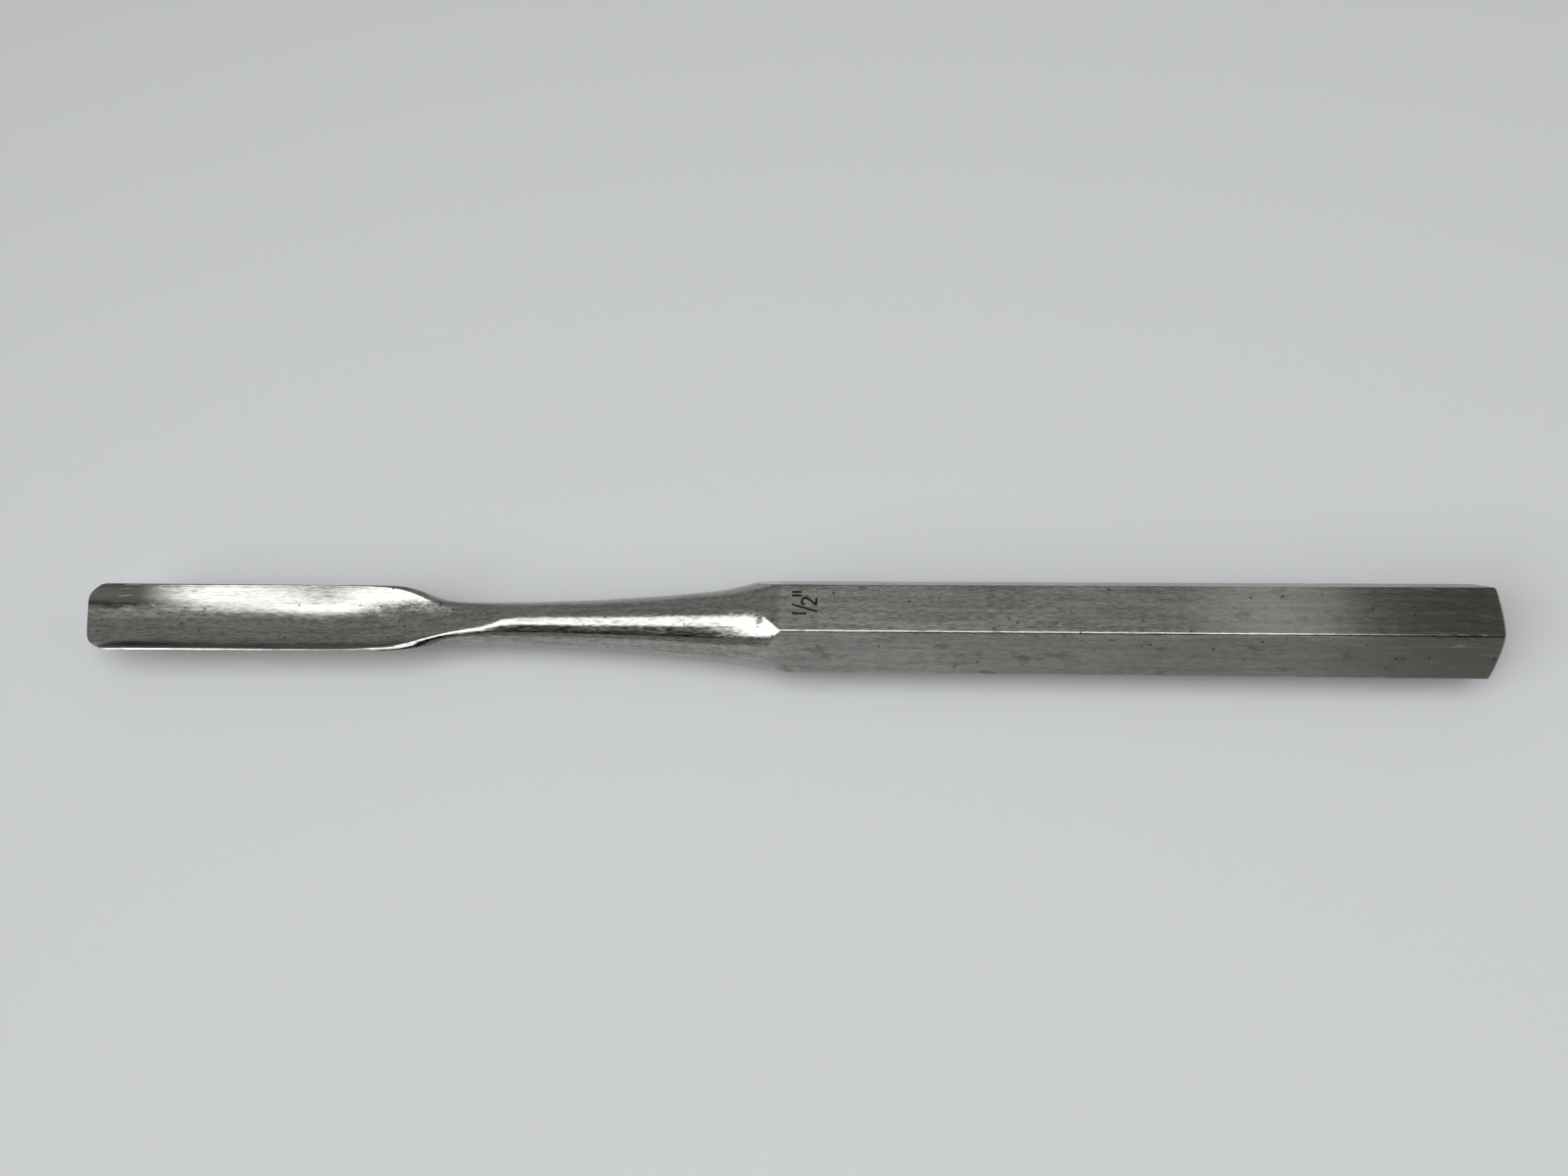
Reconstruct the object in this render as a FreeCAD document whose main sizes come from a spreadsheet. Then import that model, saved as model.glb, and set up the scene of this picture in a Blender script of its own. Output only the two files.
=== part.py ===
import FreeCAD, Part
import Sketcher
import math
import os

# Bone gouge, straight, one piece of stainless steel.
# A hexagon bar is turned down to a round neck, and the neck runs out through
# a shoulder into a trough-shaped blade with a bevel ground on its outside.
# Frame: +X along the bar from the cutting edge to the butt, +Z up, the bar
# resting on one flat at Z = 0, X = 0 half way between the two ends.
# Lengths are millimetres and angles are degrees.

# Driving sizes: name, value, what it is
SIZES = (
    ("blade_length", 56.15, "cutting edge to the start of the shoulder"),
    ("shoulder_length", 16.0, "blade to the thinnest part of the neck"),
    ("neck_length", 52.9, "shoulder to the corners where the hexagon starts"),
    ("handle_length", 116.25, "those corners to the middle of the butt"),
    ("across_flats", 14.8, "hexagon, flat to flat"),
    ("butt_dome_radius", 32.0, "slight crown of the struck end"),
    ("butt_round", 0.4, "worn rounding round the struck end"),
    ("neck_radius", 3.7, "thinnest part of the neck"),
    ("flare_radius", 75.0, "curve that opens the neck towards the handle"),
    ("lip_radius", 18.0, "tighter curve where the neck meets the flats"),
    ("lip_start_slope", 12.4, "slope of the neck where the tighter curve starts"),
    ("lip_end_slope", 26.6, "slope of the neck at the hexagon's corners"),
    ("blade_width", 12.95, "over the rims at the cutting end"),
    ("blade_root_width", 12.45, "over the rims at the shoulder"),
    ("blade_depth", 4.05, "rim down to the outside of the trough"),
    ("rim_rise", 2.4, "rims above the bar's own axis"),
    ("rim_crown", 0.15, "how far the ground rims are rounded up inwards"),
    ("trough_radius", 8.6, "inside of the trough"),
    ("trough_depth", 2.6, "rim down to the floor of the trough"),
    ("runout_radius", 120.0, "curve on which the trough's floor climbs out"),
    ("runout_lead", 11.0, "the climb starts this far before the shoulder"),
    ("shoulder_turn", 0.4, "share of the shoulder that curves in, the rest curves out"),
    ("bevel_slope", 11.5, "grind on the outside of the cutting end"),
    ("bevel_radius", 6.4, "radius of the grind at the cutting edge"),
)

# How far a cutting shape starts or ends outside the steel
TOOL_LEAD = 4.0
TURNING_CLEARANCE = 1.0

# Stations of the shoulder, as shares of its inward and its outward curve
INWARD_STATIONS = (0.0, 0.34, 0.67, 1.0)
OUTWARD_STATIONS = (0.25, 0.5, 0.75, 1.0)


class Measure:
    """A number together with the sheet's expression that gives it."""

    def __init__(self, value, text=None):
        self.value = value
        self.text = str(value) if text is None else text

    def __add__(self, other):
        return Measure(self.value + other.value, "(%s + %s)" % (self.text, other.text))

    def __sub__(self, other):
        return Measure(self.value - other.value, "(%s - %s)" % (self.text, other.text))

    def __mul__(self, other):
        return Measure(self.value * other.value, "(%s * %s)" % (self.text, other.text))

    def __truediv__(self, other):
        return Measure(self.value / other.value, "(%s / %s)" % (self.text, other.text))


def size(alias):
    """A driving size, read from the sheet."""
    return Measure(float(sheet.get(alias)), "sizes.%s" % alias)


def sine(slope):
    return Measure(math.sin(math.radians(slope.value)), "sin(%s * 1 deg)" % slope.text)


def cosine(slope):
    return Measure(math.cos(math.radians(slope.value)), "cos(%s * 1 deg)" % slope.text)


def tangent(slope):
    return Measure(math.tan(math.radians(slope.value)), "tan(%s * 1 deg)" % slope.text)


doc = FreeCAD.newDocument("bone_gouge")
sheet = doc.addObject("Spreadsheet::Sheet", "sizes")
for row, (alias, number, meaning) in enumerate(SIZES, start=1):
    sheet.set("A%d" % row, alias)
    sheet.set("B%d" % row, str(number))
    sheet.setAlias("B%d" % row, alias)
    sheet.set("C%d" % row, meaning)
doc.recompute()

body = doc.addObject("PartDesign::Body", "gouge_body")
body.Label = "gouge"
doc.recompute()

NONE = Measure(0.0)
TWO = Measure(2.0)
LEAD = Measure(TOOL_LEAD)

# Places along the bar, each from the one before it
BAR_LENGTH = size("blade_length") + size("shoulder_length") + size("neck_length") + size("handle_length")
EDGE_X = NONE - BAR_LENGTH / TWO
SHOULDER_X = EDGE_X + size("blade_length")
NECK_X = SHOULDER_X + size("shoulder_length")
HANDLE_X = NECK_X + size("neck_length")
BUTT_X = HANDLE_X + size("handle_length")

# Heights and radii that several features share
AXIS_Z = size("across_flats") / TWO
CORNER_RADIUS = AXIS_Z / cosine(Measure(30.0))
CLEAR_RADIUS = CORNER_RADIUS + Measure(TURNING_CLEARANCE)
FLOOR_RISE = size("rim_rise") - size("trough_depth")


def new_sketch(name, role, along, up):
    """An empty sketch on one of the body's planes, moved along X and up.

    On the cross plane the sketch's axes are +Y and +Z, and on the long
    plane they are +X and +Z."""
    plane = [item for item in body.Origin.OriginFeatures if item.Role == role][0]
    sketch = body.newObject("Sketcher::SketchObject", name)
    sketch.AttachmentSupport = [(plane, "")]
    sketch.MapMode = "FlatFace"
    sketch.setExpression("AttachmentOffset.Base.y", up.text)
    direction = "z" if role == "YZ_Plane" else "x"
    sketch.setExpression("AttachmentOffset.Base.%s" % direction, along.text)
    return sketch


def cross_sketch(name, along):
    """A sketch across the bar, with its origin on the bar's axis."""
    return new_sketch(name, "YZ_Plane", along, AXIS_Z)


def long_sketch(name, along=NONE, up=AXIS_Z):
    """A sketch along the bar, with its origin on a line parallel to it."""
    return new_sketch(name, "XZ_Plane", along, up)


def bind(sketch, kind, places, measure, unit=""):
    """One constraint of a sketch, with its expression."""
    number = math.radians(measure.value) if unit else measure.value
    index = sketch.addConstraint(Sketcher.Constraint(kind, *places, number))
    sketch.setExpression("Constraints[%d]" % index, measure.text + unit)


def pin(sketch, place, across, high):
    """Fixes a point of a sketch by its two distances from the origin."""
    bind(sketch, "DistanceX", (-1, 1) + place, across)
    bind(sketch, "DistanceY", (-1, 1) + place, high)


def join(sketch, first, second, smooth=False):
    """Ties the end of one edge to the start of the next."""
    kind = "Tangent" if smooth else "Coincident"
    sketch.addConstraint(Sketcher.Constraint(kind, first, 2, second, 1))


def tie(sketch, kind, *places):
    """A constraint that holds no number."""
    sketch.addConstraint(Sketcher.Constraint(kind, *places))


def draw_line(sketch, start, end):
    sketch.addGeometry(Part.LineSegment(
        FreeCAD.Vector(start[0], start[1], 0), FreeCAD.Vector(end[0], end[1], 0)), False)


def draw_arc(sketch, centre, radius, start_angle, end_angle):
    """An arc that runs anticlockwise between two angles in radians."""
    circle = Part.Circle(FreeCAD.Vector(centre[0], centre[1], 0), FreeCAD.Vector(0, 0, 1), radius)
    sketch.addGeometry(Part.ArcOfCircle(circle, start_angle, end_angle), False)


def draw_polygon(sketch, points):
    """A closed outline with each corner pinned."""
    corners = [(across.value, high.value) for across, high in points]
    for step, corner in enumerate(corners):
        draw_line(sketch, corner, corners[(step + 1) % len(corners)])
    for step, (across, high) in enumerate(points):
        join(sketch, step, (step + 1) % len(points))
        pin(sketch, (step, 1), across, high)


def turn_away(name, sketch):
    """Removes what lies inside a sketch turned round its own axis."""
    doc.recompute()
    groove = body.newObject("PartDesign::Groove", name)
    groove.Profile = sketch
    groove.ReferenceAxis = (sketch, ["H_Axis"])
    groove.Angle = 360
    return groove


def hexagon_bar():
    """The bar stock: a regular hexagon that stands on a flat."""
    sketch = cross_sketch("hexagon", NECK_X)
    points = []
    for step in range(6):
        turn = Measure(60.0 * step)
        points.append((CORNER_RADIUS * cosine(turn), CORNER_RADIUS * sine(turn)))
    draw_polygon(sketch, points)
    doc.recompute()
    pad = body.newObject("PartDesign::Pad", "bar_stock")
    pad.Profile = sketch
    pad.setExpression("Length", (BUTT_X - NECK_X).text)


def turned_neck():
    """Turns the bar down to the neck: all outside the profile is removed.

    The profile is three hollow curves that touch each other: a long one
    that leaves the thinnest place level, the flare, and the lip, which
    reaches the hexagon's corners. The long curve's radius follows from
    those two: with the flare's centre dx along and dy above the thinnest
    place, it is dx squared plus dy squared less the flare's radius squared,
    over twice dy less that radius."""
    handle_x, corner, clear = HANDLE_X.value, CORNER_RADIUS.value, CLEAR_RADIUS.value
    waist = (NECK_X.value, size("neck_radius").value)
    flare_radius, lip_radius = size("flare_radius").value, size("lip_radius").value
    start_slope = math.radians(size("lip_start_slope").value)
    end_slope = math.radians(size("lip_end_slope").value)
    lip = (handle_x - lip_radius * math.sin(end_slope), corner + lip_radius * math.cos(end_slope))
    gap = flare_radius - lip_radius
    flare = (lip[0] - gap * math.sin(start_slope), lip[1] + gap * math.cos(start_slope))
    along, above = flare[0] - waist[0], flare[1] - waist[1]
    long_radius = (along ** 2 + above ** 2 - flare_radius ** 2) / (2 * (above - flare_radius))
    flare_slope = math.asin(along / (long_radius - flare_radius))
    down = -math.pi / 2
    front = waist[0] - TOOL_LEAD
    rise_end = handle_x + (clear - corner) / math.tan(end_slope)

    sketch = long_sketch("neck_profile")
    draw_line(sketch, (front, waist[1]), waist)
    draw_arc(sketch, (waist[0], waist[1] + long_radius), long_radius, down, down + flare_slope)
    draw_arc(sketch, flare, flare_radius, down + flare_slope, down + start_slope)
    draw_arc(sketch, lip, lip_radius, down + start_slope, down + end_slope)
    draw_line(sketch, (handle_x, corner), (rise_end, clear))
    draw_line(sketch, (rise_end, clear), (front, clear))
    draw_line(sketch, (front, clear), (front, waist[1]))
    for first in range(4):
        join(sketch, first, first + 1, smooth=True)
    join(sketch, 4, 5)
    join(sketch, 5, 6)
    join(sketch, 6, 0)
    tie(sketch, "Horizontal", 0)
    tie(sketch, "Horizontal", 5)
    tie(sketch, "Vertical", 6)
    pin(sketch, (1, 1), NECK_X, size("neck_radius"))
    pin(sketch, (3, 2), HANDLE_X, CORNER_RADIUS)
    bind(sketch, "Radius", (2,), size("flare_radius"))
    bind(sketch, "Radius", (3,), size("lip_radius"))
    bind(sketch, "Angle", (4,), size("lip_end_slope"), " * 1 deg")
    lip_run = size("lip_radius") * (sine(size("lip_end_slope")) - sine(size("lip_start_slope")))
    bind(sketch, "DistanceX", (3, 1, 3, 2), lip_run)
    bind(sketch, "DistanceX", (0, 1, 0, 2), LEAD)
    bind(sketch, "DistanceY", (-1, 1, 5, 1), CLEAR_RADIUS)
    turn_away("turned_neck", sketch)


def crowned_butt():
    """Crowns the struck end: all outside a shallow dome is removed."""
    dome = size("butt_dome_radius").value
    clear = CLEAR_RADIUS.value
    drop = dome - math.sqrt(dome ** 2 - clear ** 2)
    sketch = long_sketch("butt_profile", BUTT_X)
    draw_arc(sketch, (-dome, 0), dome, 0, math.asin(clear / dome))
    draw_line(sketch, (-drop, clear), (TOOL_LEAD, clear))
    draw_line(sketch, (TOOL_LEAD, clear), (TOOL_LEAD, 0))
    draw_line(sketch, (TOOL_LEAD, 0), (0, 0))
    for first in range(3):
        join(sketch, first, first + 1)
    tie(sketch, "Coincident", 0, 1, -1, 1)
    tie(sketch, "Coincident", 3, 2, -1, 1)
    tie(sketch, "PointOnObject", 0, 3, -1)
    tie(sketch, "PointOnObject", 2, 2, -1)
    tie(sketch, "Horizontal", 1)
    tie(sketch, "Vertical", 2)
    bind(sketch, "Radius", (0,), size("butt_dome_radius"))
    bind(sketch, "DistanceY", (-1, 1, 1, 1), CLEAR_RADIUS)
    bind(sketch, "DistanceX", (-1, 1, 2, 2), LEAD)
    return turn_away("crowned_butt", sketch)


def worn_butt(crown):
    """Rounds the rim of the struck end, where the six flats meet it."""
    dome = size("butt_dome_radius").value
    drop = dome - math.sqrt(dome ** 2 - CORNER_RADIUS.value ** 2)
    limit = BUTT_X.value - drop - size("butt_round").value
    shortest = size("butt_round").value
    rim = []
    for number, edge in enumerate(crown.Shape.Edges, start=1):
        if all(vertex.X > limit for vertex in edge.Vertexes) and edge.Length > shortest:
            rim.append("Edge%d" % number)
    fillet = body.newObject("PartDesign::Fillet", "worn_butt")
    fillet.Base = (crown, rim)
    fillet.setExpression("Radius", size("butt_round").text)


def blade_section(name, along, half_width, rim, crown, depth):
    """One closed section of the blade: a deep arc below and a flat arc above.

    rim is the height of the widest points above the bar's axis, crown the
    height of the upper arc over them and depth that of the lower arc under
    them. An arc's centre lies on the middle line, away from its bulge by
    (half width squared less bulge squared) over twice the bulge."""
    sketch = cross_sketch(name, along)
    for top in (rim.value - depth.value, rim.value + crown.value):
        sketch.addGeometry(Part.Arc(
            FreeCAD.Vector(-half_width.value, rim.value, 0), FreeCAD.Vector(0, top, 0),
            FreeCAD.Vector(half_width.value, rim.value, 0)), False)
    # The lower arc runs anticlockwise from left to right, the upper one back
    tie(sketch, "Coincident", 0, 1, 1, 2)
    tie(sketch, "Coincident", 0, 2, 1, 1)
    pin(sketch, (0, 1), NONE - half_width, rim)
    pin(sketch, (0, 2), half_width, rim)
    for edge, bulge in ((0, depth), (1, NONE - crown)):
        offset = (half_width * half_width - bulge * bulge) / (TWO * bulge)
        bind(sketch, "DistanceY", (-1, 1, edge, 3), rim + offset)
    return sketch


def blade_sizes(width):
    """Half width, rim, crown and depth of the blade for one of its widths."""
    return (size(width) / TWO, size("rim_rise"), size("rim_crown"), size("blade_depth"))


def straight_blade():
    """The blank of the trough, a little wider at the cutting end."""
    tip = blade_section("blade_tip", EDGE_X, *blade_sizes("blade_width"))
    root = blade_section("blade_root", SHOULDER_X, *blade_sizes("blade_root_width"))
    doc.recompute()
    loft = body.newObject("PartDesign::AdditiveLoft", "straight_blade")
    loft.Profile = tip
    loft.Sections = [root]
    loft.Ruled = True


def shoulder_stations():
    """Where the shoulder's sections stand, and how far each is a neck.

    The shoulder curves in over its first part and out over the rest, each a
    parabola: the share of the neck grows with the square of the way, then
    falls short of one by the square of what is left."""
    turn = size("shoulder_turn")
    rest = Measure(1.0) - turn
    stations = []
    for part in INWARD_STATIONS:
        stations.append((turn * Measure(part), turn * Measure(part ** 2)))
    for part in OUTWARD_STATIONS:
        left = rest * Measure((1.0 - part) ** 2)
        stations.append((turn + rest * Measure(part), Measure(1.0) - left))
    return stations


def shoulder():
    """Carries the blade's section over into the round neck."""
    neck = size("neck_radius")
    sections = []
    for number, (way, share) in enumerate(shoulder_stations(), start=1):
        measures = []
        for start, end in zip(blade_sizes("blade_root_width"), (neck, NONE, neck, neck)):
            measures.append(start + (end - start) * share)
        place = SHOULDER_X + size("shoulder_length") * way
        sections.append(blade_section("shoulder_%d" % number, place, *measures))
    doc.recompute()
    loft = body.newObject("PartDesign::AdditiveLoft", "shoulder")
    loft.Profile = sections[0]
    loft.Sections = sections[1:]


def bevel():
    """Grinds the outside of the cutting end to an edge.

    The grind is a cone round a line above the blade. It leaves the floor of
    the trough at the cutting edge and meets the outside further back, well
    within one blade width."""
    reach = size("blade_width")
    rise = tangent(size("bevel_slope"))
    start_radius = size("bevel_radius") - LEAD * rise
    end_radius = size("bevel_radius") + reach * rise
    outside = end_radius + LEAD
    sketch = long_sketch("bevel_profile", EDGE_X, AXIS_Z + FLOOR_RISE + size("bevel_radius"))
    draw_polygon(sketch, ((NONE - LEAD, start_radius), (reach, end_radius),
                          (reach, outside), (NONE - LEAD, outside)))
    turn_away("bevel", sketch)


def trough():
    """Cuts the trough: a round cutter runs level, then climbs out."""
    start = EDGE_X - LEAD
    turn = SHOULDER_X - size("runout_lead")
    reach = size("runout_lead") + size("shoulder_length") + LEAD
    climb = size("runout_radius").value
    floor = FLOOR_RISE.value
    path = long_sketch("trough_path")
    draw_line(path, (start.value, floor), (turn.value, floor))
    draw_arc(path, (turn.value, floor + climb), climb, -math.pi / 2,
             -math.pi / 2 + math.asin(reach.value / climb))
    join(path, 0, 1, smooth=True)
    tie(path, "Horizontal", 0)
    pin(path, (0, 1), start, FLOOR_RISE)
    bind(path, "DistanceX", (-1, 1, 0, 2), turn)
    bind(path, "Radius", (1,), size("runout_radius"))
    bind(path, "DistanceX", (1, 1, 1, 2), reach)

    radius = size("trough_radius")
    centre = FLOOR_RISE + radius
    section = cross_sketch("trough_section", start)
    section.addGeometry(Part.Circle(
        FreeCAD.Vector(0, centre.value, 0), FreeCAD.Vector(0, 0, 1), radius.value), False)
    tie(section, "PointOnObject", 0, 3, -2)
    bind(section, "DistanceY", (-1, 1, 0, 3), centre)
    bind(section, "Radius", (0,), radius)
    doc.recompute()
    pipe = body.newObject("PartDesign::SubtractivePipe", "trough")
    pipe.Profile = section
    pipe.Spine = path


hexagon_bar()
turned_neck()
crown = crowned_butt()
doc.recompute()
worn_butt(crown)
doc.recompute()
straight_blade()
doc.recompute()
shoulder()
doc.recompute()
bevel()
trough()
doc.recompute()

for item in doc.Objects:
    if "Invalid" in item.State or "Error" in item.State:
        raise RuntimeError("%s did not build: %s" % (item.Name, item.State))

parts = {body.Label: body.Shape}
for name, shape in parts.items():
    if shape.isNull() or not shape.isValid() or len(shape.Solids) != 1:
        raise RuntimeError("%s is not one sound solid" % name)
    box = shape.optimalBoundingBox(True, False)
    print("%s: volume %.1f, X %.2f to %.2f, Y %.2f to %.2f, Z %.2f to %.2f" % (
        name, shape.Volume, box.XMin, box.XMax, box.YMin, box.YMax, box.ZMin, box.ZMax))

os.makedirs("parts", exist_ok=True)
for name, shape in parts.items():
    shape.exportStep("parts/%s.step" % name)
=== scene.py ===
import math

import bpy
import numpy as np
from mathutils import Matrix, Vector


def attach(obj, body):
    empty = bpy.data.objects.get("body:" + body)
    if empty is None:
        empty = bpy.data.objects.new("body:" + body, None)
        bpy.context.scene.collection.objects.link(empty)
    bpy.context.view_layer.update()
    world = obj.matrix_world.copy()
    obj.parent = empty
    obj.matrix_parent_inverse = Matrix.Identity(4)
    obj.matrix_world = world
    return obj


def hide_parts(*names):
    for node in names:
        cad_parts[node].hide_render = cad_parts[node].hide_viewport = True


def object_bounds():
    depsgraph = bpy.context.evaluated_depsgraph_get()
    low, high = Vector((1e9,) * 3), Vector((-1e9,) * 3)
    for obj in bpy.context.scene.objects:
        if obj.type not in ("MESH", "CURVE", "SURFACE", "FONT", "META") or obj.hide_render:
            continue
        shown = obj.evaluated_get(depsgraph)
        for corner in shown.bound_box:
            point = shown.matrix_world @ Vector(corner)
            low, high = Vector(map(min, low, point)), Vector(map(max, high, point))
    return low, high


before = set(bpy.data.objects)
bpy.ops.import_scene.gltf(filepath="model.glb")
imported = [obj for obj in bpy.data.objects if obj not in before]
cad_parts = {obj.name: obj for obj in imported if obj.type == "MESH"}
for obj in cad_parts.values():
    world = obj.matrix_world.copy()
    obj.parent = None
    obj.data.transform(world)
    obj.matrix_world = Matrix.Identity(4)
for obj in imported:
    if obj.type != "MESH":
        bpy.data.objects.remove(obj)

# Bone gouge, straight, one piece of stainless steel, resting on a flat of its
# hexagon handle. Metres. +X runs from the cutting edge to the butt.

cad_low, cad_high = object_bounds()

MM = 0.001

# The bar, from the frame. Polishing has taken a little off its flats
EDGE_X = cad_low.x
BUTT_X = cad_high.x
AXIS_Z = (cad_low.z + cad_high.z) / 2
POLISH = 0.012 * MM
APOTHEM = (cad_high.z - cad_low.z) / 2 - POLISH
SECTOR = math.radians(60)
CORNER_REACH = (APOTHEM + POLISH) / math.cos(SECTOR / 2)

# The blade and its shoulder
BLADE_LENGTH = 56.15 * MM
SHOULDER_LENGTH = 16.0 * MM
SHOULDER_TURN = 0.4
TIP_HALF_WIDTH = 6.475 * MM
ROOT_HALF_WIDTH = 6.225 * MM
BLADE_DEPTH = 4.05 * MM
RIM_RISE = 2.4 * MM
RIM_CROWN = 0.15 * MM
TROUGH_RADIUS = 8.6 * MM
TROUGH_FLOOR = -0.2 * MM
RUNOUT_RADIUS = 120.0 * MM
RUNOUT_LEAD = 11.0 * MM
RUNOUT_END = 32.0 * MM
BEVEL_RADIUS = 6.4 * MM
BEVEL_SLOPE = math.radians(11.5)
BEVEL_REACH = 20.0 * MM

# The cutting edge, worn back from its foremost point to both corners. Each
# pair is a depth at the corner and the power of the way by which it grows
TIP_ACROSS = 3.18 * MM
FRONT_WEAR = ((3.48 * MM, 2.0), (3.28 * MM, 7.4))
BACK_WEAR = ((3.86 * MM, 2.8),)

# The outer edge of each rim, polished round
RIM_EASE = 0.20 * MM
RIM_EASE_WIDTH = 0.50 * MM

# How softly the trough meets the rims' lands, and how much more so on the
# shoulder, where the trough fades out into the neck
LAND_CREASE = 0.05 * MM
SHOULDER_CREASE = 1.6 * MM
TROUGH_FADE_START = 1.0 * MM
TROUGH_FADE_END = 9.0 * MM

# The turned lip stands a little askew on the hexagon, with a soft crease
JUNCTION_LEAN = 0.185
JUNCTION_CREASE = 0.06 * MM

# The neck: a long hollow curve, the flare and the lip at the hexagon
HANDLE_LENGTH = 116.25 * MM
NECK_RADIUS = 3.7 * MM
FLARE_RADIUS = 75.0 * MM
LIP_RADIUS = 18.0 * MM
LIP_START_SLOPE = math.radians(12.4)
LIP_END_SLOPE = math.radians(26.6)

# The handle and its struck end. Each wave of the worn round is its share of
# the round, how often it comes in a turn, and where it starts
EDGE_ROUND = 0.50 * MM
BUTT_DOME_RADIUS = 36.0 * MM
BUTT_ROUND = 0.65 * MM
BUTT_WAVES = ((0.14, 2, 0.8), (0.10, 5, 2.0), (0.06, 11, 0.0))
BUTT_ROLL_START = math.radians(25)
BUTT_CREASE = 0.06 * MM
BUTT_WEAR = 0.45 * MM

# Small nicks in the handle's edges, in mm and degrees: place along the bar,
# turn from the top, depth and half length
NICKS = (
    (19.0, -90, 0.10, 0.6), (47.0, -90, 0.13, 0.9), (88.0, -90, 0.10, 0.7), (102.0, -90, 0.09, 0.5),
    (31.0, -30, 0.05, 0.5), (66.0, -30, 0.06, 0.6), (109.5, -30, 0.08, 0.5), (112.4, -30, 0.10, 0.6),
    (115.4, -30, 0.09, 0.5), (40.0, 30, 0.06, 0.6), (93.0, 90, 0.10, 0.8),
)
NICK_WIDTH = 2.4

SHOULDER_X = EDGE_X + BLADE_LENGTH
NECK_X = SHOULDER_X + SHOULDER_LENGTH
RUNOUT_X = SHOULDER_X - RUNOUT_LEAD
HANDLE_X = BUTT_X - HANDLE_LENGTH
LIP_CENTRE = (
    HANDLE_X - LIP_RADIUS * math.sin(LIP_END_SLOPE),
    CORNER_REACH + LIP_RADIUS * math.cos(LIP_END_SLOPE),
)

# The mesh along the bar: where a stretch starts, and its first and last step
# in mm. The steps are short where the form turns
STRETCHES = (
    (EDGE_X, 0.04, 0.6),
    (EDGE_X + 14 * MM, 0.6, 1.1),
    (SHOULDER_X - 20 * MM, 1.1, 0.28),
    (SHOULDER_X, 0.28, 0.3),
    (NECK_X + 4 * MM, 0.3, 0.7),
    (HANDLE_X - 12 * MM, 0.5, 0.04),
    (HANDLE_X, 0.04, 0.9),
    (HANDLE_X + 12 * MM, 0.75, 0.7),
)
LAST_STATION = BUTT_X - 2.4 * MM

# How far the rings follow the cutting edge and the scallops at the hexagon
TIP_REACH = 14 * MM
JUNCTION_REACH = 12 * MM

# The mesh across: columns on half of the ring, and how they are shared out
COLUMNS = 90
RIM_COLUMNS = 9
FLAT_COLUMNS = COLUMNS // 3
CORNER_CROWDING = 4.0
LEAST_CREASE = 0.4
BUTT_ROLL_RINGS = 12
BUTT_DOME_RINGS = 12

# The size mark on the top flat, in mm as one reads it: to the right of the
# bar's middle line, and up towards the blade from half way along the bar
MARK_WIDTH = 0.38 * MM
MARK_DEPTH = 0.05 * MM
MARK_PROUD = 0.006 * MM
MARK_ONE = ((-1.10, -9.34), (-1.10, -6.91))
MARK_SLASH = ((-0.72, -11.11), (0.60, -6.85))
MARK_TWO_SIDES = (0.52, 1.79)
MARK_TWO_ENDS = (-10.90, -8.48)
MARK_TICKS = (2.22, 2.86)
MARK_TICK_ENDS = (-8.42, -6.77)
MARK_BOW = (math.radians(170), math.radians(-40))

# The steel's colours
BELT_DARK = (0.20, 0.20, 0.19, 1.0)
BELT_BRIGHT = (0.47, 0.465, 0.43, 1.0)
HANDLE_GREY = (0.25, 0.262, 0.245, 1.0)
# Painted highlight: a stretch of the top flat before the butt is painted this brighter colour, as a
# reflection
TOP_FLAT_HIGHLIGHT = (0.62, 0.62, 0.56, 1.0)
# Painted shade: the butt end is painted this dark olive all round
BUTT_SHADE_OLIVE = (0.085, 0.09, 0.072, 1.0)
# Painted shade: the trough behind the cutting edge is painted this near-black, where it reflects no light
TROUGH_SHADE_DARK = (0.012, 0.014, 0.011, 1.0)
# Painted shade: the side flats along the handle are painted this darker brown
SIDE_SHADE_BROWN = (0.16, 0.155, 0.13, 1.0)
SMUDGE_BROWN = (0.13, 0.125, 0.10, 1.0)
SCRATCH_BRIGHT = (0.50, 0.50, 0.46, 1.0)
PIT_BLACK = (0.03, 0.025, 0.02, 1.0)

# Where the steel's colours set in and fade out: along the bar from its
# middle, across from its middle line, and up from the bench
# The stretch of the butt's painted shade
BUTT_SHADE_RISE = (84 * MM, 113 * MM)
BUTT_SHADE_FALL = (119.2 * MM, 119.8 * MM)
# The stretch of the top flat's painted highlight
TOP_HIGHLIGHT_RISE = (66 * MM, 84 * MM)
TOP_HIGHLIGHT_FALL = (92 * MM, 101 * MM)
TOP_FLAT_RISE = (14.3 * MM, 14.7 * MM)
# The stretch of the side flats' painted shade
SIDE_SHADE_RISE = (20 * MM, 75 * MM)
SIDE_FLATS_FALL = (13.8 * MM, 14.6 * MM)
# Where the trough's painted shade fades out, along and across
TROUGH_SHADE_FALL = (-112 * MM, -96 * MM)
TROUGH_SHADE_ACROSS = (1.0 * MM, 3.5 * MM)
BUMP_HEIGHT = 0.009 * MM

# The bench, and the camera's place, its yaw, pitch and roll in degrees, and
# its lens
BENCH_SIZE = 6.0
BENCH_Z = cad_low.z - 0.01 * MM
CAMERA_PLACE = (23.07 * MM, -89.57 * MM, 205.11 * MM)
CAMERA_TURN = (-10.73, 63.52, -9.36)
CAMERA_LENS = 29.25

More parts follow.
